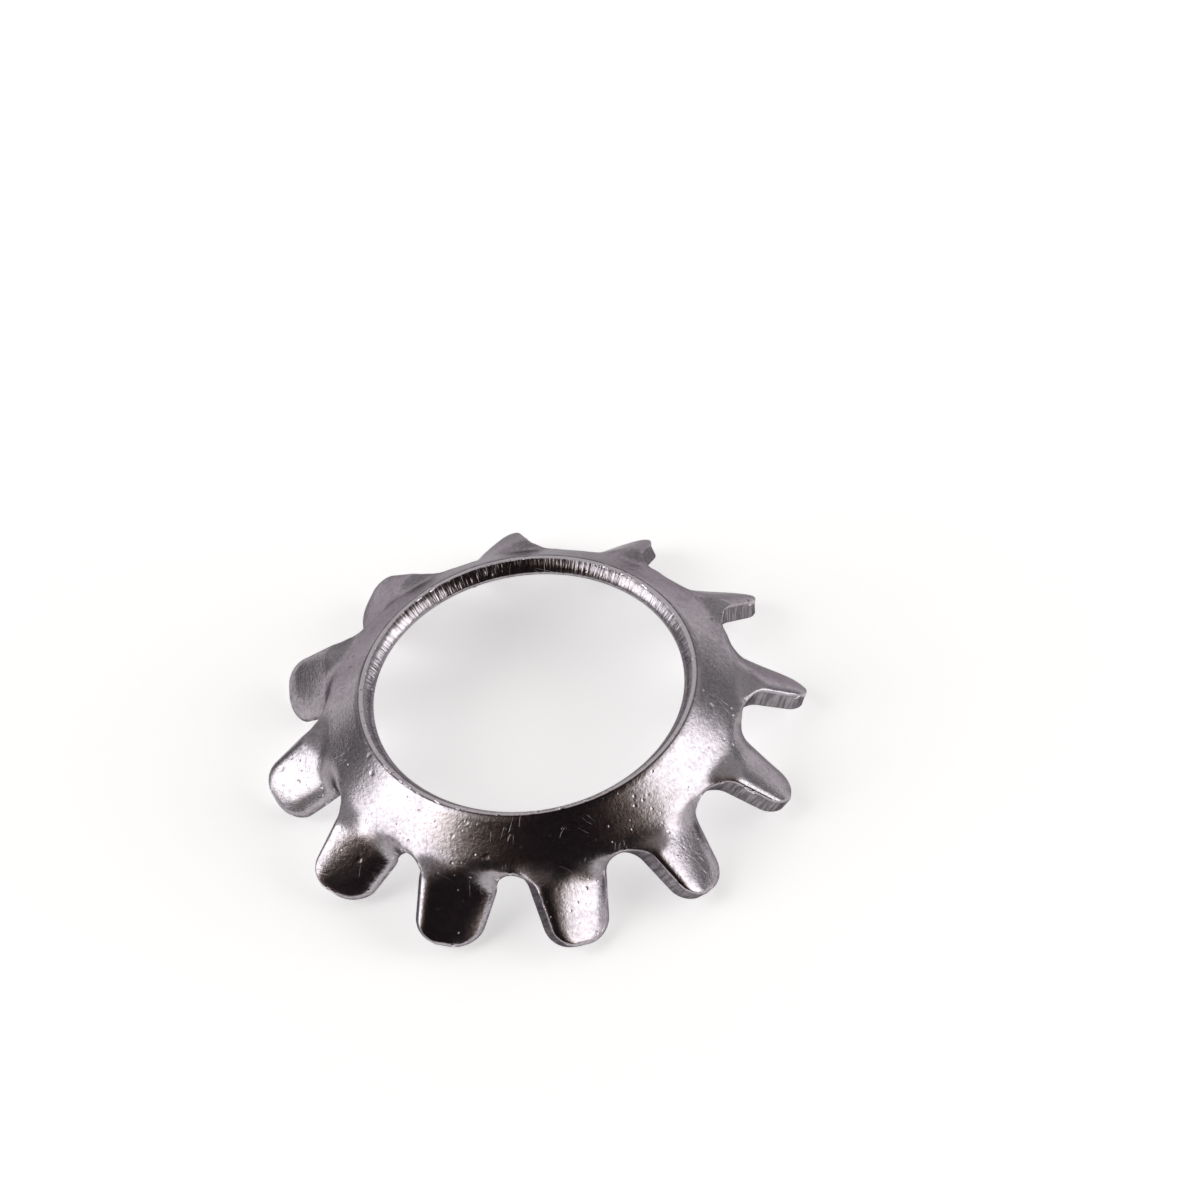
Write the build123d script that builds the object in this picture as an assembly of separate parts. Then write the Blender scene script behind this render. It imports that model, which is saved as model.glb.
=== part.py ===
from build123d import *
import os
from math import acos, asin, atan2, cos, hypot, pi, radians, sin, tan

# Toothed lock washer: one piece of spring steel sheet, punched, dished into a cone and pressed
# so that each outer tooth leans across. Millimetres and degrees, +Z along the bolt, Z = 0 where
# the tooth corners stand, origin on the washer's axis.

# Ring
bore_diameter = 6.4  # at its narrowest, on the land at the lower edge of the leaning wall
sheet = 0.4  # thickness, across the sheet
dish_angle = 42.4  # slope of the ring below the horizontal
ring_width = 1.27  # along the slope, bore edge to slot bottom
bore_land = 0.12  # length along the bolt of the cylindrical land at the bore's narrow edge
edge_break = 0.06  # chamfer on every other punched edge

# Teeth
tooth_count = 12
tooth_length = 1.54  # along the slope, slot bottom to tip
slot_width = 0.84  # at the root, also the diameter of its round bottom
tip_width = 1.2
tip_corner_radius = 0.46

# Pressed section of a tooth: its slopes across, from the raised side to the low side
lean_raised_side = -6.0
lean_middle = 28.6
lean_low_side = 26.7
root_lean_share = 0.6  # share of the full lean that a tooth has past the bend at its root
bend_start = 0.25  # where that bend begins, along the slope, short of the slot bottoms
bend_length = 0.6  # along the slope
root_core = 0.8  # share of the tooth's width that leans in full where the bend begins
core_length = 0.5  # along the slope, from there to where the whole width does
tip_uplift = 0.08  # how far the tip bows up out of the cone

# Working values
spare = 0.3  # sheet beyond the bore and the tips, cut away again
rows, columns = 26, 24  # steps of the grids that the skins pass through
skin_tolerance = 0.006
joint_tolerance = 0.0001  # radians
land_tolerance = 0.006
probe_share = 0.3  # where along an edge it is looked at, clear of its middle
edge_steps = 24  # steps along each edge in the search for the lowest point
half_pitch = pi / tooth_count
slope = radians(dish_angle)
land_bite = bore_land / (tan(slope) + 1 / tan(slope))  # what the land takes off the sharp lower edge
upper_bore_radius = bore_diameter / 2 - land_bite + sheet * sin(slope)
tip_slant = ring_width + tooth_length
slot_radius = slot_width / 2


def smooth(x):
    """Rises from 0 to 1 as x does, level at both ends."""
    x = min(max(x, 0), 1)
    return x * x * (3 - 2 * x)


def cone_radius(s):
    """Radius of the upper skin at the slant distance s from the bore edge."""
    return upper_bore_radius + s * cos(slope)


def slot_centre():
    """Centre of a slot's round bottom on the tooth's plane: slant distance, offset across."""
    radius = cone_radius(ring_width + slot_radius)
    sagitta = radius * (1 - cos(half_pitch))
    return ring_width + slot_radius - sagitta * cos(slope), radius * sin(half_pitch)


def flank_foot():
    """Point where a tooth's straight flank runs into the slot's round bottom."""
    s, w = slot_centre()
    run, rise = s - tip_slant, w - tip_width / 2
    turn = asin(slot_radius / hypot(run, rise))
    share = cos(turn)
    return (
        tip_slant + share * (run * cos(turn) - rise * sin(turn)),
        tip_width / 2 + share * (rise * cos(turn) + run * sin(turn)),
    )


def flank_offset(s):
    """Half width of the tooth at the slant distance s."""
    foot_s, foot_w = flank_foot()
    share = max((s - foot_s) / (tip_slant - foot_s), 0)
    return foot_w + share * (tip_width / 2 - foot_w)


def pressed_height(w):
    """Height of the fully pressed tooth over the cone, at the offset w across it."""
    half = flank_foot()[1]
    raised, middle, low = (tan(radians(a)) for a in (lean_raised_side, lean_middle, lean_low_side))
    bend = (low - raised) / (2 * half)
    flare = ((low + raised) / 2 - middle) / half**2
    crown = bend * half**2 / 6
    return crown - (middle * w + bend * w**2 / 2 + flare * w**3 / 3)


def skin_point(s, azimuth, depth):
    """Point of the formed sheet: slant distance, azimuth and depth below the upper skin."""
    radius = cone_radius(s)
    half_chord = radius * sin(half_pitch)
    w = radius * sin(azimuth)
    past_bend = max(s - ring_width + bend_start, 0)
    along = past_bend / (tooth_length + bend_start)
    core = flank_offset(s) * (root_core + (1 - root_core) * smooth(past_bend / core_length))
    pressed = smooth((half_chord - abs(w)) / (half_chord - core)) * smooth(past_bend / bend_length)
    share = root_lean_share + (1 - root_lean_share) * along
    height = pressed * (share * pressed_height(w) + tip_uplift * along**2) - depth

    on_cone = Vector(radius * cos(azimuth), w, -s * sin(slope))
    on_flat = Vector(radius, w, -s * sin(slope))
    radial = Vector(cos(azimuth), sin(azimuth), 0)
    outward = (radial * (1 - pressed) + Vector(1, 0, 0) * pressed).normalized()
    normal = outward * sin(slope) + Vector(0, 0, cos(slope))
    return on_cone * (1 - pressed) + on_flat * pressed + normal * height


def skin(depth):
    """Face through one pitch of the formed sheet, at a depth below the upper skin."""
    length = tip_slant + 2 * spare
    slants = [length * i / rows - spare for i in range(rows + 1)]
    azimuths = [half_pitch * (2 * j / columns - 1) for j in range(columns + 1)]
    points = [[skin_point(s, azimuth, depth) for azimuth in azimuths] for s in slants]
    return Face.make_surface_from_array_of_points(points, tol=skin_tolerance, min_deg=3)


def formed_sheet():
    """One pitch of the sheet, dished and pressed, before its outline is cut."""
    upper, lower = skin(0), skin(sheet)
    walls = [Face.make_surface_from_curves(*pair) for pair in zip(upper.edges(), lower.edges())]
    return Solid(Shell([upper, lower, *walls]))


def blank_outline():
    """Outline of one pitch on the tooth's own plane, slant distance along X."""
    slot_s, slot_w = slot_centre()
    foot_s, foot_w = flank_foot()
    half_turn = acos((slot_s - foot_s) / slot_radius) / 2
    middle_s = slot_s - slot_radius * cos(half_turn)
    middle_w = slot_w - slot_radius * sin(half_turn)
    with BuildSketch() as outline:
        with BuildLine():
            for side in (1, -1):
                bottom = (slot_s - slot_radius, side * slot_w)
                foot = (foot_s, side * foot_w)
                Polyline((-2 * spare, 0), (-2 * spare, side * slot_w), bottom)
                ThreePointArc(bottom, (middle_s, side * middle_w), foot)
                Polyline(foot, (tip_slant, side * tip_width / 2), (tip_slant, 0))
        make_face()
        fillet(outline.vertices().group_by(Axis.X)[-1], tip_corner_radius)
    return outline.sketch


def tooth_punch():
    """Solid that keeps what lies inside the outline, square to the tooth's own plane."""
    down_the_tooth = (cos(slope), 0, -sin(slope))
    square_to_it = (sin(slope), 0, cos(slope))
    plane = Plane((upper_bore_radius, 0, 0), x_dir=down_the_tooth, z_dir=square_to_it)
    return extrude(plane * blank_outline(), amount=sheet + tip_width, both=True)


def bore_punch():
    """Solid of the bore: its wall square to the dished ring, and the land at the narrow edge."""
    edge = Vector(upper_bore_radius, 0)
    across = Vector(sin(slope), cos(slope))
    top, low = edge + across * spare, edge - across * (sheet + spare)
    half = make_face(Plane.XZ * Polyline((0, top.Y), top, low, (0, low.Y), close=True))
    return revolve(half, Axis.Z) + Cylinder(bore_diameter / 2, 2 * (sheet + spare))


def is_broken_edge(edge):
    """Tells a sharp punched edge from one that meets the next pitch or lies on the bore's land."""
    point = edge @ probe_share
    meets_next = abs(abs(atan2(point.Y, point.X)) - half_pitch) < joint_tolerance
    on_land = abs(hypot(point.X, point.Y) - bore_diameter / 2) < land_tolerance
    return not meets_next and not on_land


def pitch_solid():
    """One tooth with its part of the ring, its edges broken."""
    blank = (formed_sheet() & tooth_punch()) - bore_punch()
    skins = blank.faces().sort_by(SortBy.AREA)[-2:]
    edges = [edge for face in skins for edge in face.edges() if is_broken_edge(edge)]
    return blank.solid().chamfer(edge_break, None, edges)


def lowest_point(solid):
    """Height of the lowest point on a solid's edges."""
    shares = [i / edge_steps for i in range(edge_steps + 1)]
    return min((edge @ share).Z for edge in solid.edges() for share in shares)


def washer():
    """The whole washer, standing on its tooth corners."""
    pitch = pitch_solid()
    ring, *rest = [pitch.rotate(Axis.Z, 360 / tooth_count * i) for i in range(tooth_count)]
    return ring.fuse(*rest).translate((0, 0, -lowest_point(pitch)))


os.makedirs("parts", exist_ok=True)
lock_washer = washer()
lock_washer.label = "lock_washer"
export_step(lock_washer, "parts/lock_washer.step")
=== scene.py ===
"""Toothed lock washer: a dished steel ring with leaning outer teeth, dressed as tumbled steel.

The ring is one mesh. A Geometry Nodes tree lays out one pitch of the flat blank, repeats it round the
axis, forms it into the dished and pressed sheet, and closes it with cut walls and rounded edges.
Sizes are millimetres and degrees until they reach Blender, which takes metres and radians.
"""

import logging
import math
from dataclasses import dataclass, field
from enum import Enum
from typing import Any, Optional, Union

import bpy
from mathutils import Matrix, Vector

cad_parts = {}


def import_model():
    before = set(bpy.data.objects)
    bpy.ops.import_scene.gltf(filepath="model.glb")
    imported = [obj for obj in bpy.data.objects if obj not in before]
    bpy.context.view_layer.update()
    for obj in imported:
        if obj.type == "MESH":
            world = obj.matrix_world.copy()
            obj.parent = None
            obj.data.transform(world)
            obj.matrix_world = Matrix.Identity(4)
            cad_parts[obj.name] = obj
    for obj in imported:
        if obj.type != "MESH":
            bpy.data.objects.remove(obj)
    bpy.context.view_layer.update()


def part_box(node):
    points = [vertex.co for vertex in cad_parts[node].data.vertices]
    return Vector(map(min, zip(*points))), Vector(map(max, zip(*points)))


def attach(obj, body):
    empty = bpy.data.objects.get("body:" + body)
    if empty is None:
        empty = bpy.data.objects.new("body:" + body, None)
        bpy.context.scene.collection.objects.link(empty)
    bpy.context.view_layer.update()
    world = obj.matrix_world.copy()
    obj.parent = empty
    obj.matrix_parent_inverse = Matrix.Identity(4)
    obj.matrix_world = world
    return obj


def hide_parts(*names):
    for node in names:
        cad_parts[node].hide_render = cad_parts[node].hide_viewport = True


LOG = logging.getLogger("lock_washer")
MM = 0.001
NODE = "lock_washer"
SLOT = "tumbled_steel"
QUARTER_TURN = math.pi / 2
WELD = 1e-7  # metres, the distance within which points are merged
ROW_SLACK = 1e-5  # share of the rows, so that a row on a zone's border falls on one side of it
NOISE_MEAN = 0.5
WHITE = (1.0, 1.0, 1.0, 1.0)

Number = Union[float, int, "Value"]
Triple = tuple[float, float, float]
Band = tuple[float, float]


# --- Node expressions ---


class Nodes:
    """Adds nodes to one tree and turns their outputs into expressions."""

    def __init__(self, tree: bpy.types.NodeTree) -> None:
        """Wraps a tree.

        Args:
            tree: The node tree that takes the nodes.
        """
        self.tree = tree

    def add(self, kind: str, settings: Optional[dict] = None, **inputs: Any) -> bpy.types.Node:
        """Adds a node, sets it up and fills its sockets.

        Args:
            kind: Blender's name for the node type.
            settings: Properties of the node, set before its sockets are looked up.
            **inputs: Socket values or links, by socket name with underscores for spaces, or by
                "_0", "_1" and so on for a socket's place.

        Returns:
            The new node.
        """
        node = self.tree.nodes.new(kind)
        for name, value in (settings or {}).items():
            setattr(node, name, value)
        for name, value in inputs.items():
            key = int(name[1:]) if name[0] == "_" and name[1:].isdigit() else name.replace("_", " ")
            self.plug(node.inputs[key], value)
        return node

    def plug(self, socket: bpy.types.NodeSocket, value: Any) -> None:
        """Links an expression or a socket to a socket, or sets its own value.

        Args:
            socket: The input socket.
            value: A Value, a Vec, a socket, or a plain value.
        """
        source = getattr(value, "socket", value)
        if isinstance(source, bpy.types.NodeSocket):
            self.tree.links.new(source, socket)
        else:
            socket.default_value = source

    def value(self, kind: str, out: Union[str, int] = 0, settings: Optional[dict] = None,
              **inputs: Any) -> "Value":
        """Adds a node and returns one of its outputs as a number."""
        return Value(self, self.add(kind, settings, **inputs).outputs[out])

    def vec(self, kind: str, out: Union[str, int] = 0, settings: Optional[dict] = None,
            **inputs: Any) -> "Vec":
        """Adds a node and returns one of its outputs as a vector."""
        return Vec(self, self.add(kind, settings, **inputs).outputs[out])

    def join(self, x: Number, y: Number, z: Number) -> "Vec":
        """Makes a vector of three numbers."""
        return self.vec("ShaderNodeCombineXYZ", _0=x, _1=y, _2=z)

    def blend(self, factor: Number, a: Any, b: Any) -> bpy.types.NodeSocket:
        """Mixes two colours.

        Args:
            factor: Share of the second colour.
            a: First colour, as a socket or an RGB tuple.
            b: Second colour, as a socket or an RGB tuple.

        Returns:
            The socket of the mixed colour.
        """
        node = self.add("ShaderNodeMix", {"data_type": "RGBA"})
        self.plug(node.inputs[0], factor)
        for socket, colour in ((node.inputs[6], a), (node.inputs[7], b)):
            self.plug(socket, (*colour, 1.0) if isinstance(colour, tuple) else colour)
        return node.outputs[2]


def emptied(owner: Union[bpy.types.Material, bpy.types.World]) -> Nodes:
    """Gives a material or a world an empty node tree.

    Args:
        owner: The material or the world.

    Returns:
        Its tree, ready to take nodes.
    """
    owner.use_nodes = True
    owner.node_tree.nodes.clear()
    return Nodes(owner.node_tree)


class Value:
    """A number on a node socket, with Python's operators adding Math nodes."""

    def __init__(self, nodes: Nodes, socket: bpy.types.NodeSocket) -> None:
        """Wraps a socket that carries a number."""
        self.nodes = nodes
        self.socket = socket

    def math(self, operation: str, *operands: Number, clamp: bool = False) -> "Value":
        """Adds one Math node.

        Args:
            operation: The Math node's operation.
            *operands: Its operands, in order.
            clamp: Whether the result is held between 0 and 1.

        Returns:
            The node's result.
        """
        settings = {"operation": operation, "use_clamp": clamp}
        named = {f"_{i}": operand for i, operand in enumerate(operands)}
        return self.nodes.value("ShaderNodeMath", 0, settings, **named)

    def __add__(self, other: Number) -> "Value":
        """Adds."""
        return self.math("ADD", self, other)

    __radd__ = __add__

    def __sub__(self, other: Number) -> "Value":
        """Subtracts."""
        return self.math("SUBTRACT", self, other)

    def __rsub__(self, other: Number) -> "Value":
        """Subtracts from a number."""
        return self.math("SUBTRACT", other, self)

    def __mul__(self, other: Number) -> "Value":
        """Multiplies."""
        return self.math("MULTIPLY", self, other)

    __rmul__ = __mul__

    def __truediv__(self, other: Number) -> "Value":
        """Divides."""
        return self.math("DIVIDE", self, other)

    def __neg__(self) -> "Value":
        """Turns the sign."""
        return self.math("MULTIPLY", self, -1.0)

    def __abs__(self) -> "Value":
        """Drops the sign."""
        return self.math("ABSOLUTE", self)

    def least(self, other: Number) -> "Value":
        """The lesser of two."""
        return self.math("MINIMUM", self, other)

    def most(self, other: Number) -> "Value":
        """The greater of two."""
        return self.math("MAXIMUM", self, other)

    def root(self) -> "Value":
        """Square root."""
        return self.math("SQRT", self)

    def sine(self) -> "Value":
        """Sine of an angle in radians."""
        return self.math("SINE", self)

    def cosine(self) -> "Value":
        """Cosine of an angle in radians."""
        return self.math("COSINE", self)

    def above(self, other: Number) -> "Value":
        """1 where this is greater than the other, else 0."""
        return self.math("GREATER_THAN", self, other)

    def held(self, low: Number = 0.0, high: Number = 1.0) -> "Value":
        """This share of the way from low to high, held between 0 and 1."""
        return self.math("DIVIDE", self - low, high - low, clamp=True)

    def eased(self, low: Number = 0.0, high: Number = 1.0) -> "Value":
        """Rises from 0 to 1 between low and high, level at both ends."""
        x = self.held(low, high)
        return x * x * (3.0 - 2.0 * x)


class Vec:
    """A vector on a node socket, with operators adding Vector Math nodes."""

    def __init__(self, nodes: Nodes, socket: bpy.types.NodeSocket) -> None:
        """Wraps a socket that carries a vector."""
        self.nodes = nodes
        self.socket = socket

    def math(self, operation: str, *operands: Any) -> bpy.types.Node:
        """Adds one Vector Math node.

        Args:
            operation: The node's operation.
            *operands: Its vector operands, in order.

        Returns:
            The node.
        """
        named = {f"_{i}": operand for i, operand in enumerate(operands)}
        return self.nodes.add("ShaderNodeVectorMath", {"operation": operation}, **named)

    def __add__(self, other: Any) -> "Vec":
        """Adds a vector."""
        return Vec(self.nodes, self.math("ADD", self, other).outputs[0])

    def __mul__(self, factor: Number) -> "Vec":
        """Scales by a number."""
        node = self.math("SCALE", self)
        self.nodes.plug(node.inputs["Scale"], factor)
        return Vec(self.nodes, node.outputs[0])

    __rmul__ = __mul__

    def times(self, other: Triple) -> "Vec":
        """Scales each axis by its own factor."""
        return Vec(self.nodes, self.math("MULTIPLY", self, other).outputs[0])

    def dot(self, other: Any) -> Value:
        """Dot product."""
        return Value(self.nodes, self.math("DOT_PRODUCT", self, other).outputs["Value"])

    def unit(self) -> "Vec":
        """The same direction at length 1."""
        return Vec(self.nodes, self.math("NORMALIZE", self).outputs[0])

    def length(self) -> Value:
        """Length."""
        return Value(self.nodes, self.math("LENGTH", self).outputs["Value"])

    def parts(self) -> tuple[Value, Value, Value]:
        """Its three components."""
        node = self.nodes.add("ShaderNodeSeparateXYZ", _0=self)
        return tuple(Value(self.nodes, out) for out in node.outputs)


# --- The washer's mesh ---


@dataclass(frozen=True)
class Forming:
    """Sizes of the punched and formed sheet, in millimetres and degrees."""

    bore_radius: float = 3.2
    sheet: float = 0.4
    dish_angle: float = 42.4
    ring_width: float = 1.27
    bore_land: float = 0.12
    tooth_length: float = 1.54
    slot_radius: float = 0.42
    tip_half_width: float = 0.6
    corner_radius: float = 0.46
    lean_raised_side: float = -6.0
    lean_middle: float = 28.6
    lean_low_side: float = 26.7
    root_share: float = 0.6
    bend_start: float = 0.25
    bend_length: float = 0.6
    root_core: float = 0.8
    core_length: float = 0.5
    tip_uplift: float = 0.08
    bore_break: float = 0.064
    slot_round: float = 0.1
    tooth_round: float = 0.08
    raised_roll: float = 0.06
    low_roll: float = 0.12
    tip_roll: float = 0.05
    roll_reach: float = 0.36
    wall_tilt: float = 0.13
    lower_round: float = 0.07
    unevenness: float = 0.035
    roll_blend: float = 0.3
    tip_roll_start: float = 0.5
    tip_roll_full: float = 0.1
    bevel_blend: Band = (0.2, 0.8)
    tilt_reach: float = 0.35
    # how far across the tooth, from its middle, the painted shade on its bend reaches
    bend_shade_reach: float = 0.35
    pitches: int = 12

    @property
    def slope(self) -> float:
        """Slope of the cone in radians."""
        return math.radians(self.dish_angle)

    @property
    def half_pitch(self) -> float:
        """Half of the angle from tooth to tooth, in radians."""
        return math.pi / self.pitches

    @property
    def rim_radius(self) -> float:
        """Radius of the upper skin's sharp bore edge."""
        bite = self.bore_land / (math.tan(self.slope) + 1 / math.tan(self.slope))
        return self.bore_radius - bite + self.sheet * math.sin(self.slope)

    @property
    def tip_slant(self) -> float:
        """Slant distance from the bore edge to the tooth tips."""
        return self.ring_width + self.tooth_length

    @property
    def slot_centre(self) -> tuple[float, float]:
        """Centre of a slot's round bottom on the tooth's plane.

        Returns:
            Slant distance, and offset across.
        """
        radius = self.rim_radius + (self.ring_width + self.slot_radius) * math.cos(self.slope)
        sagitta = radius * (1 - math.cos(self.half_pitch))
        slant = self.ring_width + self.slot_radius - sagitta * math.cos(self.slope)
        return slant, radius * math.sin(self.half_pitch)

    @property
    def flank_foot(self) -> tuple[float, float, float]:
        """Where the straight flank leaves the slot.

        Returns:
            Slant distance, offset across, and angle round the slot.
        """
        slant, offset = self.slot_centre
        run, rise = slant - self.tip_slant, offset - self.tip_half_width
        turn = math.asin(self.slot_radius / math.hypot(run, rise))
        share = math.cos(turn)
        foot_slant = self.tip_slant + share * (run * math.cos(turn) - rise * math.sin(turn))
        foot_offset = self.tip_half_width + share * (rise * math.cos(turn) + run * math.sin(turn))
        return foot_slant, foot_offset, math.acos((slant - foot_slant) / self.slot_radius)


class Differing(Enum):
    """What differs from tooth to tooth, with the row of the noise that it is drawn from."""

    LEAN = 0.5
    UPLIFT = 7.5


class Zone(Enum):
    """Stretches of a pitch from the bore to the tips, with the share of the rows that each takes."""

    BORE_EDGE = 0.06
    RING = 0.14
    SLOT_EDGE = 0.08
    SLOT_BOTTOM = 0.24
    FLANK = 0.22
    TIP_CORNER = 0.26

    def reach(self) -> tuple[float, float]:
        """Rows of this stretch.

        Returns:
            The first and the last, as shares of all rows.
        """
        shares = [zone.value for zone in Zone]
        start = sum(shares[: list(Zone).index(self)])
        return start, start + self.value


class FormingTree:
    """Geometry Nodes tree that makes the whole washer from its sizes."""

    SIZES = (
        "Rim Radius", "Slope", "Half Pitch", "Sheet", "Ring Width", "Tip Slant", "Slot Radius",
        "Tip Half Width", "Corner Radius", "Root Share", "Bend Start", "Bend Length", "Root Core",
        "Core Length", "Tip Uplift", "Bore Break", "Slot Round", "Tooth Round", "Raised Roll",
        "Low Roll", "Tip Roll", "Roll Reach", "Wall Tilt", "Lower Round", "Unevenness",
    )

    def __init__(self, forming: Forming, rows: int, columns: int, seed: int) -> None:
        """Builds the tree.

        Args:
            forming: Sizes of the washer.
            rows: Grid vertices from the bore to the tip.
            columns: Grid vertices across a pitch.
            seed: Seed of the small differences from tooth to tooth.
        """
        self.forming = forming
        self.tree = bpy.data.node_groups.new("formed_ring", "GeometryNodeTree")
        self.nodes = Nodes(self.tree)
        face = self.tree.interface
        face.new_socket("Geometry", in_out="INPUT", socket_type="NodeSocketGeometry")
        for name in [*self.SIZES, "Seat Height"]:
            face.new_socket(name, in_out="INPUT", socket_type="NodeSocketFloat")
        for name in ("Pitches", "Rows", "Columns", "Seed"):
            face.new_socket(name, in_out="INPUT", socket_type="NodeSocketInt")
        face.new_socket("Finish", in_out="INPUT", socket_type="NodeSocketMaterial")
        face.new_socket("Geometry", in_out="OUTPUT", socket_type="NodeSocketGeometry")
        self.given = self.nodes.add("NodeGroupInput")
        self.counts = {"Rows": rows, "Columns": columns, "Seed": seed, "Pitches": forming.pitches}
        self.build()

    def size(self, name: str) -> Value:
        """One of the tree's named inputs."""
        return Value(self.nodes, self.given.outputs[name])

    def named(self, name: str) -> Value:
        """A number stored on the mesh under a name."""
        return self.nodes.value("GeometryNodeInputNamedAttribute", 0, {"data_type": "FLOAT"}, Name=name)

    def store(self, mesh: Any, name: str, value: Any, kind: str = "FLOAT", where: Any = True) -> Any:
        """Stores a value on the mesh's points under a name.

        Args:
            mesh: Geometry socket.
            name: Name of the attribute.
            value: Expression to store.
            kind: Blender's data type.
            where: Selection of points.

        Returns:
            The geometry socket after it.
        """
        settings = {"data_type": kind, "domain": "POINT"}
        node = self.nodes.add("GeometryNodeStoreNamedAttribute", settings,
                              Geometry=mesh, Selection=where, Name=name)
        self.nodes.plug(node.inputs["Value"], value)
        return node.outputs[0]

    def half_width(self, slant: Value) -> Value:
        """Half width of a tooth's straight part.

        Args:
            slant: Slant distance from the bore edge.

        Returns:
            The half width there.
        """
        foot_slant, foot_offset, _ = self.forming.flank_foot
        tip = self.size("Tip Half Width")
        return foot_offset + (tip - foot_offset) * slant.held(foot_slant, self.size("Tip Slant"))

    def pressed_share(self, slant: Value, offset: Value) -> Value:
        """How far a point of the blank has gone over from the cone to the pressed tooth.

        Args:
            slant: Slant distance from the bore edge.
            offset: Offset across the pitch.

        Returns:
            0 on the ring and between the teeth, 1 on a tooth.
        """
        radius = self.size("Rim Radius") + slant * self.size("Slope").cosine()
        chord, core = radius * self.size("Half Pitch").sine(), self.size("Root Core")
        bend = self.size("Ring Width") - self.size("Bend Start")
        core = core + (1.0 - core) * slant.eased(bend, bend + self.size("Core Length"))
        on_tooth = (chord - abs(offset)).eased(0.0, chord - core * self.half_width(slant))
        return on_tooth * slant.eased(bend, bend + self.size("Bend Length"))

    def layout(self, share: Value) -> tuple[Value, Value]:
        """Slant distance and half width of the blank for a share of the rows.

        Args:
            share: 0 at the bore, 1 at the tip.

        Returns:
            Slant distance on the cone, and offset of the blank's edge across the pitch.
        """
        slot_slant, slot_offset = self.forming.slot_centre
        foot_slant, _, foot_turn = self.forming.flank_foot
        ring, edge, bore = self.size("Ring Width"), self.size("Slot Round"), self.size("Bore Break")
        slot, corner = self.size("Slot Radius"), self.size("Corner Radius")
        tip, slope = self.size("Tip Slant"), self.size("Slope")
        part = {zone: share.held(*zone.reach()) for zone in Zone}

        at_bore = bore * part[Zone.BORE_EDGE]
        on_ring = (ring - bore - edge) * part[Zone.RING]
        at_slot = edge * (part[Zone.SLOT_EDGE] * QUARTER_TURN).sine()

        start_turn = math.atan(math.tan(self.forming.half_pitch) * math.cos(self.forming.slope))
        turn = start_turn + (foot_turn - start_turn) * part[Zone.SLOT_BOTTOM]
        arc_slant = slot_slant - slot * turn.cosine()
        arc_offset = slot_offset - slot * turn.sine()
        radius = self.size("Rim Radius") + arc_slant * slope.cosine()
        sagitta = radius - (radius * radius - arc_offset * arc_offset).root()
        on_cone = arc_slant + sagitta * slope.cosine()
        in_slot = on_cone - sagitta * slope.cosine() * self.pressed_share(on_cone, arc_offset) - ring

        on_flank = (tip - corner - foot_slant) * part[Zone.FLANK]
        bow = part[Zone.TIP_CORNER] * QUARTER_TURN
        slant_low = at_bore + on_ring + at_slot
        past_slot = share.above(Zone.FLANK.reach()[0] - ROW_SLACK)
        in_arc = share.above(Zone.SLOT_BOTTOM.reach()[0] + ROW_SLACK) * (1.0 - past_slot)
        slant_high = foot_slant + on_flank + corner * bow.sine()
        slant = slant_low + in_arc * (ring + in_slot - slant_low) + past_slot * (slant_high - slant_low)

        ring_radius = self.size("Rim Radius") + slant * slope.cosine()
        chord = ring_radius * self.size("Half Pitch").sine()
        tooth = self.half_width(slant) - corner * (1.0 - bow.cosine())
        offset = chord + in_arc * (arc_offset - chord) + past_slot * (tooth - chord)
        return slant, offset

    def edge_distance(self, slant: Value, offset: Value) -> Value:
        """Distance over the blank to its nearest cut edge.

        Args:
            slant: Slant distance from the bore edge.
            offset: Offset across the pitch.

        Returns:
            The distance, never below 0.
        """
        slot_slant, slot_offset = self.forming.slot_centre
        across = abs(offset)
        sagitta = offset * offset / (2.0 * (self.size("Rim Radius") + slant * self.size("Slope").cosine()))
        round_cone = 1.0 - self.pressed_share(slant, offset)
        plane_slant = slant - sagitta * self.size("Slope").cosine() * round_cone
        nodes, corner = self.nodes, self.size("Corner Radius")
        from_centre = nodes.join(plane_slant - slot_slant, across - slot_offset, 0.0).length()
        to_slot = from_centre - self.size("Slot Radius")
        side = across - self.half_width(slant) + corner
        end = slant - self.size("Tip Slant") + corner
        outside = nodes.join(side.most(0.0), end.most(0.0), 0.0).length()
        to_tooth = corner - outside - side.most(end).least(0.0)
        beyond = slant.above(self.forming.flank_foot[0])
        to_outline = to_slot + beyond * (to_tooth - to_slot)
        return to_outline.least(slant).most(0.0)

    def pressed_height(self, offset: Value) -> Value:
        """Height of the fully pressed tooth over the cone at an offset across it."""
        angles = (self.forming.lean_raised_side, self.forming.lean_middle, self.forming.lean_low_side)
        raised, middle, low = (math.tan(math.radians(angle)) for angle in angles)
        half = self.forming.flank_foot[1]
        bend = (low - raised) / (2 * half)
        flare = ((low + raised) / 2 - middle) / half**2
        crown = bend * half**2 / 6
        return crown - offset * (middle + offset * (bend / 2 + offset * (flare / 3)))

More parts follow.
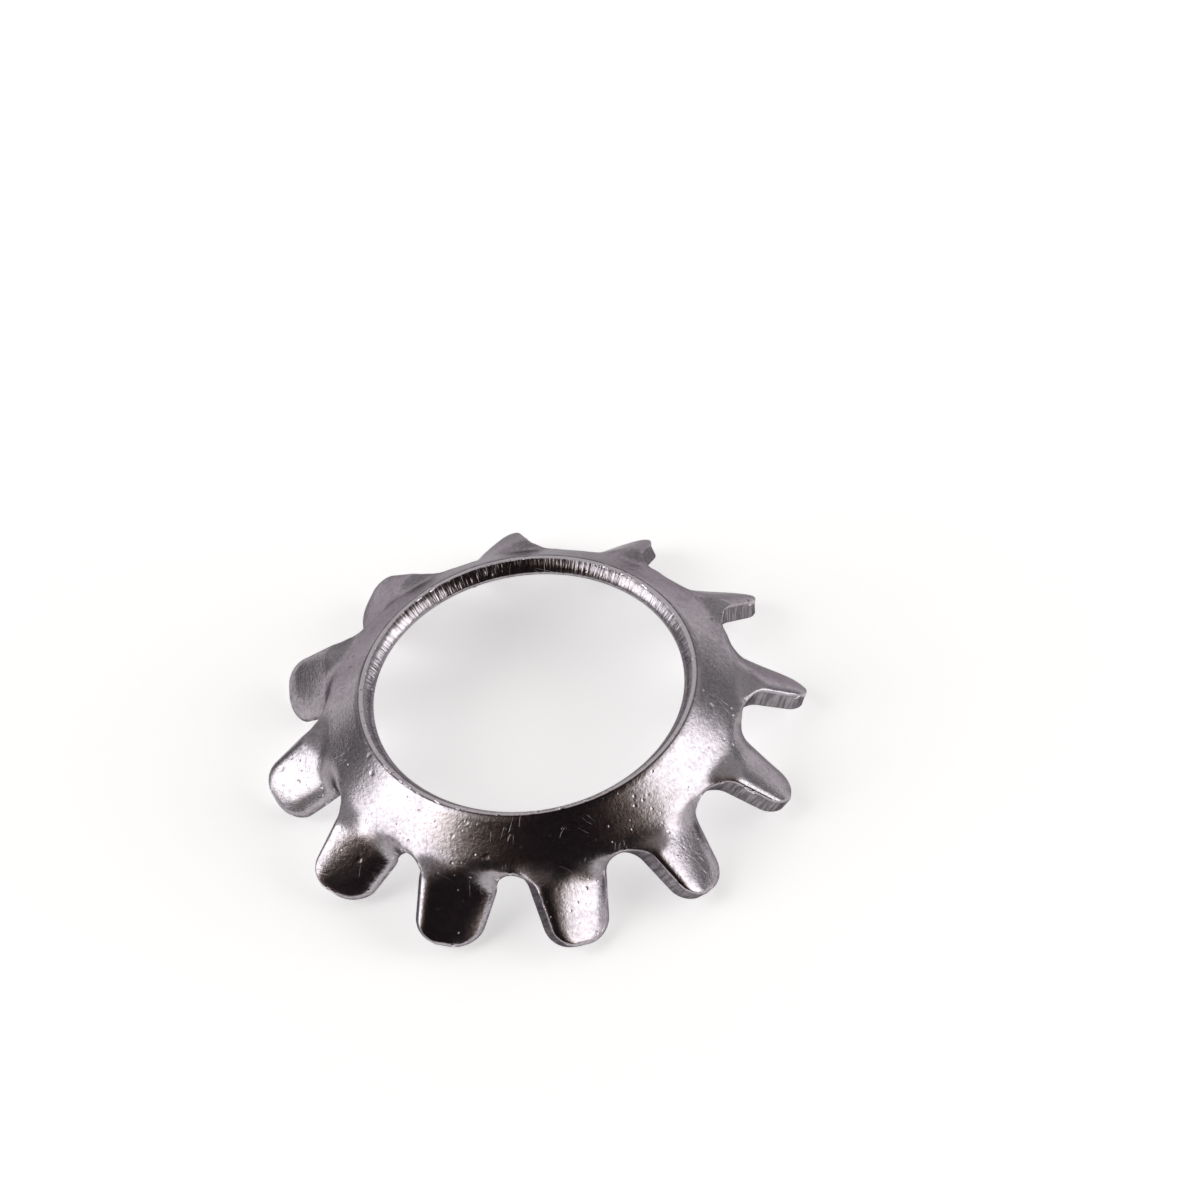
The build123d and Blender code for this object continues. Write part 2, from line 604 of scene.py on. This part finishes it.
    def formed_point(self, slant: Value, offset: Value, depth: Value, tooth: Value) -> Vec:
        """Place of a point of the sheet after dishing and pressing.

        Args:
            slant: Slant distance from the bore edge.
            offset: Offset across the pitch.
            depth: Depth below the upper skin.
            tooth: Number of the tooth, which turns the point round the axis.

        Returns:
            The point, in metres.
        """
        nodes, slope = self.nodes, self.size("Slope")
        radius = self.size("Rim Radius") + slant * slope.cosine()
        sine = offset / radius
        cosine = (1.0 - sine * sine).root()
        pressed = self.pressed_share(slant, offset)
        share = slant.held(self.size("Ring Width") - self.size("Bend Start"), self.size("Tip Slant"))
        root = self.size("Root Share")
        evenness = 1.0 - self.differing(tooth, Differing.LEAN)
        lean = (root + (1.0 - root) * share) * self.pressed_height(offset) * evenness
        uplift = self.size("Tip Uplift") * share * share * (1.0 + self.differing(tooth, Differing.UPLIFT))
        height = pressed * (lean + uplift) - depth

        drop = -(slant * slope.sine())
        on_cone = nodes.join(radius * cosine, offset, drop)
        on_flat = nodes.join(radius, offset, drop)
        free = 1.0 - pressed
        outward = (nodes.join(cosine, sine, 0.0) * free + nodes.join(pressed, 0.0, 0.0)).unit()
        normal = outward * slope.sine() + nodes.join(0.0, 0.0, slope.cosine())
        point = on_cone * free + on_flat * pressed + normal * height
        point = point + nodes.join(0.0, 0.0, self.size("Seat Height"))
        turn = tooth * 2.0 * self.size("Half Pitch")
        turned = nodes.vec("ShaderNodeVectorRotate", 0, {"rotation_type": "Z_AXIS"},
                           Vector=point, Angle=turn)
        return turned * MM

    def differing(self, tooth: Value, what: Differing) -> Value:
        """A small share that differs from tooth to tooth.

        Args:
            tooth: Number of the tooth.
            what: What differs.

        Returns:
            The share, from 0 to the unevenness.
        """
        noise = self.nodes.value("ShaderNodeTexWhiteNoise", "Value", {"noise_dimensions": "2D"},
                                 Vector=self.nodes.join(tooth + self.size("Seed"), what.value, 0.0))
        return noise * self.size("Unevenness")

    def rounding(self, distance: Value, reach: Value, depth: Value) -> Value:
        """Depth that a rounded edge takes off the skin at a distance from the edge.

        Args:
            distance: Distance from the edge.
            reach: Distance at which the rounding starts.
            depth: Its full depth, at the edge.

        Returns:
            The depth at that distance.
        """
        inside = 1.0 - distance.held(0.0, reach)
        return depth * (1.0 - (1.0 - inside * inside).most(0.0).root())

    def near_edge(self) -> Value:
        """1 at a tooth's cut edge, falling to 0 as far inside as its skin rolls off."""
        inside = 1.0 - self.named("edge").held(0.0, self.size("Roll Reach"))
        return inside * inside * self.pressed_share(self.named("slant"), self.named("offset"))

    def upper_rounding(self) -> Value:
        """What edges take off the upper skin: a bevel at the bore, a round and a roll-off on teeth.

        Returns:
            The depth.
        """
        form, bore = self.forming, self.size("Bore Break")
        slant, offset, slot = self.named("slant"), self.named("offset"), self.size("Slot Round")
        raised, low, tip = self.size("Raised Roll"), self.size("Low Roll"), self.size("Tip Roll")
        flank = raised + (low - raised) * offset.eased(-form.roll_blend, form.roll_blend)
        end = self.size("Tip Slant")
        at_tip = slant.eased(end - form.tip_roll_start, end - form.tip_roll_full)
        roll = (flank + (tip - flank) * at_tip) * self.near_edge()
        radius = slot + (self.size("Tooth Round") - slot) * self.pressed_share(slant, offset)
        bevel = bore - self.named("edge").least(bore)
        rounded = self.rounding(self.named("edge"), radius, radius)
        return roll + bevel + (rounded - bevel) * slant.eased(*form.bevel_blend)

    def tilted(self, side: float) -> Value:
        """Offset across the pitch after a tooth's cut walls have tilted with its lean.

        Args:
            side: -1 for the upper skin, whose raised edge moves in, and 1 for the lower skin,
                whose low edge does.

        Returns:
            The new offset.
        """
        offset = self.named("offset")
        on_side = (offset * side).eased(0.0, self.forming.tilt_reach)
        return offset - side * self.size("Wall Tilt") * on_side * self.near_edge()

    def build(self) -> None:
        """Lays out the pitch, repeats it, forms it and closes the solid."""
        nodes = self.nodes
        grid = nodes.add("GeometryNodeMeshGrid", Size_X=1.0, Size_Y=1.0)
        nodes.plug(grid.inputs["Vertices X"], self.size("Columns"))
        nodes.plug(grid.inputs["Vertices Y"], self.size("Rows"))
        x, y, _ = nodes.vec("GeometryNodeInputPosition").parts()
        across = x * 2.0
        # Columns: evenly spread over the inner part, closer and closer towards the cut edges.
        border, inner = 0.5, 0.35
        near = abs(across).held(inner, 1.0)
        spread = abs(across).held(0.0, inner) * (1.0 - border) + border * (near * QUARTER_TURN).sine()
        mesh = self.store(grid.outputs["Mesh"], "share", y + 0.5)
        mesh = self.store(mesh, "across", spread * across.math("SIGN", across))

        ring = nodes.add("GeometryNodeMeshLine", {"mode": "OFFSET"}, Count=self.size("Pitches"))
        ring.inputs["Offset"].default_value = (0.0, 0.0, 0.0)
        number = nodes.value("GeometryNodeInputIndex")
        points = nodes.add("GeometryNodeStoreNamedAttribute", {"data_type": "FLOAT", "domain": "INSTANCE"})
        copies = nodes.add("GeometryNodeInstanceOnPoints", Points=ring.outputs[0], Instance=mesh)
        nodes.plug(points.inputs["Geometry"], copies.outputs[0])
        points.inputs["Name"].default_value = "tooth"
        nodes.plug(points.inputs["Value"], number)
        real = nodes.add("GeometryNodeRealizeInstances", Geometry=points.outputs[0]).outputs[0]

        slant, offset = self.layout(self.named("share"))
        mesh = self.store(real, "slant", slant)
        mesh = self.store(mesh, "offset", offset * self.named("across"))
        slant, tooth = self.named("slant"), self.named("tooth")
        mesh = self.store(mesh, "edge", self.edge_distance(slant, self.named("offset")))
        mesh = self.store(mesh, "lift", 0.0)
        round_under = self.size("Lower Round")
        depth = self.size("Sheet") - self.rounding(self.named("edge"), round_under, round_under)
        bend = self.size("Ring Width") - self.size("Bend Start")
        over = slant.held(bend, bend + self.size("Bend Length"))
        # Mask of the painted shade on each tooth's bend: strongest halfway over the bend and away from the
        # tooth's middle
        off_middle = abs(self.named("offset")).eased(0.0, self.forming.bend_shade_reach)
        mesh = self.store(mesh, "bend_shade", 4.0 * over * (1.0 - over) * off_middle)  # 1 halfway over the bend
        upper = self.formed_point(slant, self.tilted(-1.0), self.upper_rounding(), tooth)
        lower = self.formed_point(slant, self.tilted(1.0), depth, tooth)
        mesh = self.store(mesh, "upper", upper, "FLOAT_VECTOR")
        mesh = self.store(mesh, "lower", lower, "FLOAT_VECTOR")

        where = {"data_type": "FLOAT_VECTOR"}
        low_place = nodes.vec("GeometryNodeInputNamedAttribute", 0, where, Name="lower")
        high_place = nodes.vec("GeometryNodeInputNamedAttribute", 0, where, Name="upper")
        mesh = nodes.add("GeometryNodeSetPosition", Geometry=mesh, Position=low_place).outputs[0]
        mesh = nodes.add("GeometryNodeMergeByDistance", Geometry=mesh, Distance=WELD).outputs[0]
        raised = nodes.add("GeometryNodeExtrudeMesh", {"mode": "FACES"}, Mesh=mesh, Offset_Scale=0.0)
        raised.inputs["Individual"].default_value = False
        top = nodes.add("GeometryNodeSetPosition", Geometry=raised.outputs["Mesh"],
                        Selection=raised.outputs["Top"], Position=high_place).outputs[0]
        top = self.store(top, "lift", 1.0, where=raised.outputs["Top"])
        # The formed grid faces down, so the lower skin already points outward and the rest is turned.
        top = nodes.add("GeometryNodeFlipFaces", Mesh=top).outputs[0]
        both = nodes.add("GeometryNodeJoinGeometry")
        self.tree.links.new(top, both.inputs[0])
        self.tree.links.new(mesh, both.inputs[0])
        whole = nodes.add("GeometryNodeMergeByDistance", Geometry=both.outputs[0], Distance=WELD).outputs[0]
        for name in ("upper", "lower", "share", "across"):
            whole = nodes.add("GeometryNodeRemoveAttribute", Geometry=whole, Name=name).outputs[0]
        smooth = nodes.add("GeometryNodeSetShadeSmooth", Geometry=whole, Shade_Smooth=True).outputs[0]
        solid = nodes.add("GeometryNodeRealizeInstances", Geometry=smooth).outputs[0]
        finish = self.given.outputs["Finish"]
        dressed = nodes.add("GeometryNodeSetMaterial", Geometry=solid, Material=finish).outputs[0]
        nodes.add("NodeGroupOutput", Geometry=dressed)

    def apply(self, name: str, seat_height: float, finish: bpy.types.Material) -> bpy.types.Object:
        """Runs the tree and keeps its result as a plain mesh.

        Args:
            name: Name of the new object.
            seat_height: Height of the upper skin's bore edge over the floor, in millimetres.
            finish: Material of the piece.

        Returns:
            The finished object, with no modifier left on it.
        """
        seed = bpy.data.objects.new(f"{name}_seed", bpy.data.meshes.new(f"{name}_seed"))
        bpy.context.scene.collection.objects.link(seed)
        modifier = seed.modifiers.new("formed_ring", "NODES")
        modifier.node_group = self.tree
        values = {label: getattr(self.forming, label.lower().replace(" ", "_")) for label in self.SIZES}
        values.update(self.counts, **{"Seat Height": seat_height, "Finish": finish})
        for item in self.tree.interface.items_tree:
            if item.in_out == "INPUT" and item.name in values:
                modifier[item.identifier] = values[item.name]
        seed.update_tag()
        graph = bpy.context.evaluated_depsgraph_get()
        mesh = bpy.data.meshes.new_from_object(seed.evaluated_get(graph), depsgraph=graph)
        mesh.name = name
        bpy.data.objects.remove(seed)
        piece = bpy.data.objects.new(name, mesh)
        bpy.context.scene.collection.objects.link(piece)
        return piece


# --- Finishes ---


@dataclass(frozen=True)
class Grain:
    """A noise texture with features about 1/scale millimetres wide."""

    scale: float
    detail: float
    rough: float = 0.5
    shift: Triple = (0.0, 0.0, 0.0)

    def read(self, nodes: Nodes, place: Vec) -> Value:
        """The noise at a place, between 0 and 1."""
        at = place + self.shift if any(self.shift) else place
        return nodes.value("ShaderNodeTexNoise", 0, Vector=at, Scale=self.scale, Detail=self.detail,
                           Roughness=self.rough)


@dataclass(frozen=True)
class Dents:
    """Small round dents: places for one per millimetre, and the share of them that has one."""

    scale: float
    share: float
    shift: Triple = (0.0, 0.0, 0.0)
    middle: float = 0.05
    radius: float = 0.1
    spread: float = 0.22

    def read(self, nodes: Nodes, place: Vec) -> Value:
        """Lays the dents.

        Args:
            nodes: Where the nodes are added.
            place: Place on the piece in millimetres.

        Returns:
            Depth of a dent, 1 at its middle and 0 outside.
        """
        at = place + self.shift if any(self.shift) else place
        cells = nodes.add("ShaderNodeTexVoronoi", Vector=at, Scale=self.scale)
        drawn = Vec(nodes, cells.outputs["Color"]).parts()
        distance = Value(nodes, cells.outputs["Distance"])
        hole = 1.0 - distance.eased(self.middle, self.radius + self.spread * drawn[1])
        return hole * (1.0 - drawn[0].above(self.share))


@dataclass(frozen=True)
class Scratches:
    """Sparse fine lines in one direction, given in radians, with a seed that shifts the set."""

    turn: float
    seed: float
    axis: Triple = (0.3, 0.2, 1.0)
    stretch: Triple = (0.09, 3.2, 0.7)
    line: Grain = Grain(1.6, 1.0)
    where: Grain = Grain(1.3, 1.0)
    share: Band = (0.58, 0.66)
    sharpness: float = 200.0

    def read(self, nodes: Nodes, place: Vec) -> Value:
        """Draws the scratches.

        Args:
            nodes: Where the nodes are added.
            place: Place on the piece in millimetres.

        Returns:
            1 on a scratch, 0 away from it.
        """
        seed = self.seed
        turned = nodes.vec("ShaderNodeVectorRotate", 0, {"rotation_type": "AXIS_ANGLE"}, Vector=place,
                           Axis=self.axis, Angle=self.turn)
        lines = self.line.read(nodes, turned.times(self.stretch) + (seed, seed, seed))
        sparse = self.where.read(nodes, place + (seed, 0.0, seed)).eased(*self.share)
        return (1.0 - abs(lines - NOISE_MEAN) * self.sharpness).held() * sparse


@dataclass(frozen=True)
class Gloss:
    """Roughness of the clean skin, and what each kind of mark adds to it."""

    skin: float = 0.17
    cloud: float = 0.12
    speck: float = 0.16
    wall: float = 0.08
    torn: float = 0.14
    bend_shade: float = 0.12


@dataclass(frozen=True)
class Relief:
    """Heights in the bump, in millimetres, and the share of the skin's that a cut wall loses."""

    grain: float = 0.0038
    speck: float = 0.003
    wave: float = 0.0026
    score: float = 0.012
    score_at_bore: float = 0.014
    nick: float = 0.012
    dent: float = 0.006
    scratch: float = 0.0015
    lost_on_wall: float = 0.5


@dataclass(frozen=True)
class TumbledSteel:
    """Bright spring steel, tumbled after punching: satin skins, scored cut walls, fine dents; painted shade
    on the walls, the teeth's bends and the bore's crease, painted highlights on the bore's edge and nicks.
    """

    name: str = SLOT
    light: Triple = (0.45, 0.417, 0.448)
    dull: Triple = (0.25, 0.226, 0.25)
    film: Triple = (0.29, 0.255, 0.255)
    # darker colour of the cut walls: real shear scoring, and a painted shade that every wall away from the
    # bore gets
    scored_and_shaded: Triple = (0.17, 0.155, 0.17)
    # colour of painted shade, laid on the teeth's bends and along the bore's crease
    painted_shade: Triple = (0.1, 0.083, 0.083)
    # pale colour of burnished metal, brightened past steel's own into a painted highlight on the bore's edge
    # and on nicks
    burnish_and_highlight: Triple = (0.8, 0.745, 0.795)
    grazing: Triple = (0.4, 0.38, 0.4)
    gloss: Gloss = Gloss()
    relief: Relief = Relief()

    grain: Grain = Grain(16.0, 3.0, 0.75)
    speck: Grain = Grain(9.0, 3.0, 0.65)
    wave: Grain = Grain(2.6, 2.0)
    cloud: Grain = Grain(0.9, 3.0, 0.6)
    fleck: Grain = Grain(14.0, 2.0, 0.7, (2.0, 9.0, 4.0))
    haze: Grain = Grain(1.6, 3.0, 0.7, (5.0, 5.0, 5.0))
    chip: Grain = Grain(4.5, 2.0, shift=(3.0, 1.0, 6.0))
    score: Grain = Grain(15.0, 2.0, 0.7)
    dents: tuple[Dents, Dents] = (Dents(3.2, 0.35), Dents(6.5, 0.3, (7.0, 3.0, 1.0)))
    scratches: tuple[Scratches, Scratches] = (Scratches(0.5, 3.0), Scratches(2.1, 11.0))

    # Bands over which a mark fades, in millimetres: from the cut edge inward, or down the slant
    wall_band: Band = (0.004, 0.03)
    bore_band: Band = (0.07, 0.12)
    rim_highlight_band: Band = (0.045, 0.06)
    crease_shade_start: Band = (0.05, 0.065)
    crease_shade_end: Band = (0.075, 0.1)
    nick_band: Band = (0.03, 0.08)

    # Along and across the cut walls
    tooth_step: float = 3.3
    score_climb: float = 0.03
    top_sharpness: float = 12.0
    torn_height: float = 0.55
    torn_waver: float = 0.5
    torn_blur: float = 0.2

    # Bands of a noise over which a mark appears, and the strengths of the marks
    crease_shade_gaps: Band = (0.3, 0.5)
    nick_share: Band = (0.56, 0.66)
    cloud_tone: Band = (0.35, 0.7)
    cloud_score: Band = (0.35, 0.65)
    haze_share: Band = (0.52, 0.75)
    wall_score: Band = (0.4, 0.6)
    bore_score: Band = (0.52, 0.6)
    cloud_strength: float = 0.5
    speck_strength: float = 0.7
    fleck_strength: float = 2.4
    haze_strength: float = 0.6
    # share of painted shade that every cut wall gets, and what the scoring adds on top
    wall_shade: float = 0.35
    wall_scored: float = 0.65
    bore_scored: float = 0.45
    crease_shade_strength: float = 0.7
    rim_highlight_base: float = 0.6
    rim_highlight_fleck: float = 0.6
    bend_shade_base: float = 0.75
    bend_shade_speck: float = 0.5
    bend_shade_strength: float = 0.2
    nick_highlight_strength: float = 0.9

    def make(self) -> bpy.types.Material:
        """Builds the material.

        Returns:
            The new material.
        """
        material = bpy.data.materials.new(self.name)
        nodes = emptied(material)
        place = nodes.vec("ShaderNodeTexCoord", "Object") * (1.0 / MM)
        edge, slant, offset, tooth, lift, bend_shade = (
            nodes.value("ShaderNodeAttribute", "Fac", {"attribute_name": name, "attribute_type": "GEOMETRY"})
            for name in ("edge", "slant", "offset", "tooth", "lift", "bend_shade"))

        grain, speck, wave, cloud = (
            kind.read(nodes, place) for kind in (self.grain, self.speck, self.wave, self.cloud))
        dents, small_dents = (kind.read(nodes, place) for kind in self.dents)
        dents = dents.most(small_dents)
        lines, crossing = (kind.read(nodes, place) for kind in self.scratches)
        lines = lines.most(crossing)

        along_cut = nodes.join(slant, offset + tooth * self.tooth_step, 0.0)
        cut = 1.0 - edge.eased(*self.wall_band)
        score = self.score.read(nodes, along_cut + nodes.join(0.0, 0.0, lift * self.score_climb))
        at_bore = 1.0 - slant.eased(*self.bore_band)
        top = (lift * self.top_sharpness - (self.top_sharpness - 1.0)).held()
        torn = self.torn_height - lift + (speck - NOISE_MEAN) * self.torn_waver
        torn = torn.held(0.0, self.torn_blur) * cut * (1.0 - at_bore)
        # Painted highlight: the bore's upper edge, over its bevel, takes the pale burnished colour
        rim_highlight = at_bore * top * (1.0 - edge.eased(*self.rim_highlight_band))
        # Painted shade: a dark line, broken in places, along the crease where the bore's bevel meets the
        # upper skin
        crease_shade = at_bore * top * edge.eased(*self.crease_shade_start) * (1.0 - edge.eased(*self.crease_shade_end))
        crease_shade = crease_shade * speck.eased(*self.crease_shade_gaps)
        nick = self.chip.read(nodes, place).eased(*self.nick_share)
        nick = nick * (1.0 - edge.eased(*self.nick_band)) * top

        fleck = self.fleck.read(nodes, place)
        tone = cloud.eased(*self.cloud_tone) * self.cloud_strength
        tone = tone + (speck - NOISE_MEAN) * self.speck_strength + (fleck - NOISE_MEAN) * self.fleck_strength
        colour = nodes.blend(tone.held(0.0, 1.0), self.light, self.dull)
        haze = self.haze.read(nodes, place).eased(*self.haze_share) * self.haze_strength
        colour = nodes.blend(haze, colour, self.film)
        # Cut walls away from the bore: painted shade on every wall, plus darker scoring where the noise runs
        # high; in the bore only the scoring
        wall_scoring_and_shade = (self.wall_shade + self.wall_scored * score.eased(*self.wall_score)) * (1.0 - at_bore)
        in_bore = at_bore * score.eased(*self.bore_score) * self.bore_scored
        colour = nodes.blend(cut * (wall_scoring_and_shade + in_bore), colour, self.scored_and_shaded)
        # painted shade along the bore's crease
        colour = nodes.blend(crease_shade * self.crease_shade_strength, colour, self.painted_shade)
        # painted highlight on the bore's burnished edge
        colour = nodes.blend(rim_highlight * (self.rim_highlight_base + self.rim_highlight_fleck * fleck).held(), colour, self.burnish_and_highlight)
        # Painted shade darkening each tooth's bend, broken up by the speck noise; the bend also gets rougher
        bend_shade = bend_shade * (self.bend_shade_base + self.bend_shade_speck * speck)
        colour = nodes.blend((bend_shade * self.bend_shade_strength).held(0.0, 1.0), colour, self.painted_shade)
        # Painted highlight: nicks near the upper skin's cut edges take the pale burnished colour, on top of
        # their bump
        colour = nodes.blend(nick * self.nick_highlight_strength, colour, self.burnish_and_highlight)

        gloss, relief = self.gloss, self.relief
        rough = gloss.skin + (cloud - NOISE_MEAN) * gloss.cloud + (speck - NOISE_MEAN) * gloss.speck
        rough = rough + cut * (1.0 - at_bore) * gloss.wall + torn * gloss.torn + bend_shade * gloss.bend_shade
        skin = grain * relief.grain + speck * relief.speck + wave * relief.wave
        deeper = relief.score_at_bore * at_bore * cloud.eased(*self.cloud_score)
        scoring = cut * score * (relief.score + deeper) + nick * relief.nick
        skin = skin * (1.0 - relief.lost_on_wall * cut)
        height = skin + scoring - dents * relief.dent - lines * relief.scratch
        bump = nodes.add("ShaderNodeBump", Strength=1.0, Distance=MM, Height=height)
        shader = nodes.add("ShaderNodeBsdfPrincipled", Base_Color=colour, Roughness=rough, Metallic=1.0,
                           Specular_Tint=(*self.grazing, 1.0), Normal=bump.outputs[0])
        nodes.add("ShaderNodeOutputMaterial", Surface=shader.outputs[0])
        return material


@dataclass(frozen=True)
class PaleFloor:
    """Matt white floor that the camera sees as plain white away from the shadow."""

    name: str = "pale_floor"
    colour: Triple = (0.9, 0.9, 0.9)
    lift: float = 0.5

    def make(self) -> bpy.types.Material:
        """Builds the material.

        Returns:
            The new material.
        """
        material = bpy.data.materials.new(self.name)
        nodes = emptied(material)
        path = nodes.add("ShaderNodeLightPath")
        seen = Value(nodes, path.outputs["Is Camera Ray"])
        for ray in ("Is Glossy Ray", "Is Transmission Ray"):
            seen = seen.most(Value(nodes, path.outputs[ray]))
        matt = nodes.add("ShaderNodeBsdfDiffuse", Color=(*self.colour, 1.0))
        glow = nodes.add("ShaderNodeEmission", Color=WHITE, Strength=seen * self.lift)
        both = nodes.add("ShaderNodeAddShader", _0=matt.outputs[0], _1=glow.outputs[0])
        nodes.add("ShaderNodeOutputMaterial", Surface=both.outputs[0])
        return material


# --- Sub-assemblies ---


@dataclass
class LockWasher:
    """The washer itself, one formed piece that stands for its solid."""

    forming: Forming = field(default_factory=Forming)
    finish: TumbledSteel = field(default_factory=TumbledSteel)
    rows: int = 64
    columns: int = 33
    seed: int = 5
    edge_break: float = 0.06

    def seat_height(self) -> float:
        """Height of the upper skin's sharp bore edge, from the top of the solid's box."""
        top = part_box(NODE)[1][2] / MM
        return top + self.edge_break * math.sin(self.forming.slope)

    def build(self) -> bpy.types.Object:
        """Makes the piece and hands it to the frame.

        Returns:
            The finished piece.
        """
        tree = FormingTree(self.forming, self.rows, self.columns, self.seed)
        piece = tree.apply("formed_washer", self.seat_height(), self.finish.make())
        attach(piece, "root")
        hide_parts(NODE)
        LOG.info("%s: %d faces", piece.name, len(piece.data.polygons))
        return piece


@dataclass(frozen=True)
class Panel:
    """A soft-edged patch of the surround, placed in degrees from the camera's direction."""

    across: float
    up: float
    half_width: float
    half_height: float
    level: float
    softness: float = 0.2
    fringe: float = 0.0


@dataclass
class Studio:
    """Floor, light and camera."""

    ring_height: float
    rim_radius: float
    floor_size: float = 3.0
    view_elevation: float = 48.49
    view_roll: float = 10.47
    view_turn: float = 1.39
    picture_width: float = 1200.0
    centre_x: float = 526.98
    centre_y: float = 682.80
    pixels_per_rim: float = 168.73
    rims_away: float = 69.48
    sensor: float = 36.0
    clip: Band = (0.001, 20.0)
    surround_level: float = 0.47
    ambient: Triple = (0.019, 0.0145, 0.015)
    panels: tuple[Panel, ...] = (
        Panel(-72.0, -32.0, 30.0, 24.0, 0.28, 0.4),
        Panel(88.0, 48.0, 20.0, 15.0, 0.24, 0.4),
        Panel(-63.0, 10.0, 23.0, 20.0, 2.8, 0.18),
        Panel(60.0, 18.0, 17.5, 25.0, 2.75, 0.28),
        Panel(-100.0, 34.0, 14.0, 18.0, 0.2, 0.3),
        Panel(4.0, 18.0, 31.0, 40.0, 0.0, 0.32, 0.03),
        Panel(0.0, -23.0, 51.0, 28.0, 0.0, 0.2, 0.02),
    )

    def axes(self) -> tuple[Vector, Vector, Vector]:
        """Directions of the camera.

        Returns:
            Its right, up and back.
        """
        rise, turn, roll = (math.radians(a) for a in (self.view_elevation, self.view_turn, self.view_roll))
        right = Vector((math.cos(turn), -math.sin(turn), 0.0))
        away = Vector((math.sin(turn), math.cos(turn), 0.0))
        up = away * math.sin(rise) + Vector((0.0, 0.0, math.cos(rise)))
        back = Vector((0.0, 0.0, math.sin(rise))) - away * math.cos(rise)
        level = right * math.cos(roll) - up * math.sin(roll)
        return level, right * math.sin(roll) + up * math.cos(roll), back

    def camera(self) -> bpy.types.Object:
        """Places the camera.

        Returns:
            The camera object.
        """
        right, up, back = self.axes()
        distance = self.rims_away * self.rim_radius * MM
        focal = self.pixels_per_rim * self.rims_away
        centre = Vector((0.0, 0.0, self.ring_height * MM))
        across = (self.centre_x - self.picture_width / 2) / focal * distance
        down = (self.centre_y - self.picture_width / 2) / focal * distance
        data = bpy.data.cameras.new("studio_camera")
        data.sensor_width = self.sensor
        data.lens = focal * self.sensor / self.picture_width
        data.clip_start, data.clip_end = self.clip
        camera = bpy.data.objects.new("studio_camera", data)
        turn = Matrix((right, up, back)).transposed().to_4x4()
        camera.matrix_world = Matrix.Translation(centre + back * distance - right * across + up * down) @ turn
        bpy.context.scene.collection.objects.link(camera)
        bpy.context.scene.camera = camera
        return camera

    def floor(self) -> bpy.types.Object:
        """Lays the floor.

        Returns:
            The floor object.
        """
        half = self.floor_size / 2
        corners = [(-half, -half, 0.0), (half, -half, 0.0), (half, half, 0.0), (-half, half, 0.0)]
        mesh = bpy.data.meshes.new("floor")
        mesh.from_pydata(corners, [], [(0, 1, 2, 3)])
        mesh.materials.append(PaleFloor().make())
        floor = bpy.data.objects.new("floor", mesh)
        bpy.context.scene.collection.objects.link(floor)
        return floor

    def toward(self, across: float, up: float) -> tuple[Vector, Vector, Vector]:
        """A direction in the surround and its two cross directions.

        Args:
            across: Degrees to the right of the camera's place, as it sees the piece.
            up: Degrees above it.

        Returns:
            The direction, and the directions across and up from it.
        """
        right, rise, back = self.axes()
        angle = math.radians(math.hypot(across, up))
        side = (right * across + rise * up).normalized() if angle else right
        centre = back * math.cos(angle) + side * math.sin(angle)
        level = (right - centre * right.dot(centre)).normalized()
        return centre, level, centre.cross(level)

    def world(self) -> None:
        """Sets the surround: mid grey, dark round the camera, bright each side, a faint light over all."""
        world = bpy.data.worlds.new("studio")
        bpy.context.scene.world = world
        nodes = emptied(world)
        direction = nodes.vec("ShaderNodeTexCoord", "Generated")
        start = nodes.value("ShaderNodeValue")
        start.socket.default_value = self.surround_level
        levels = [start, start, start]
        for panel in self.panels:
            centre, across, rise = self.toward(panel.across, panel.up)
            u = direction.dot(tuple(across)) / math.sin(math.radians(panel.half_width))
            v = direction.dot(tuple(rise)) / math.sin(math.radians(panel.half_height))
            out = (u * u + v * v).root()
            ahead = direction.dot(tuple(centre)).above(0.0)
            for i, shift in enumerate((-panel.fringe, 0.0, panel.fringe)):
                low, high = 1.0 + shift - panel.softness, 1.0 + shift + panel.softness
                inside = (1.0 - out.eased(low, high)) * ahead
                levels[i] = levels[i] + (panel.level - levels[i]) * inside
        level = nodes.join(*levels) + nodes.join(*self.ambient)
        glow = nodes.add("ShaderNodeBackground", Color=level, Strength=1.0)
        nodes.add("ShaderNodeOutputWorld", Surface=glow.outputs[0])

    def build(self) -> None:
        """Builds the whole studio."""
        self.camera()
        self.floor()
        self.world()
        bpy.context.scene.view_settings.view_transform = "Standard"
        LOG.info("studio: floor, surround and camera")


def main() -> None:
    """Builds the washer and the studio round it."""
    logging.basicConfig(level=logging.INFO, format="%(name)s: %(message)s")
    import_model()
    washer = LockWasher()
    washer.build()
    Studio(ring_height=washer.seat_height(), rim_radius=washer.forming.rim_radius).build()


if __name__ == "__main__":
    main()
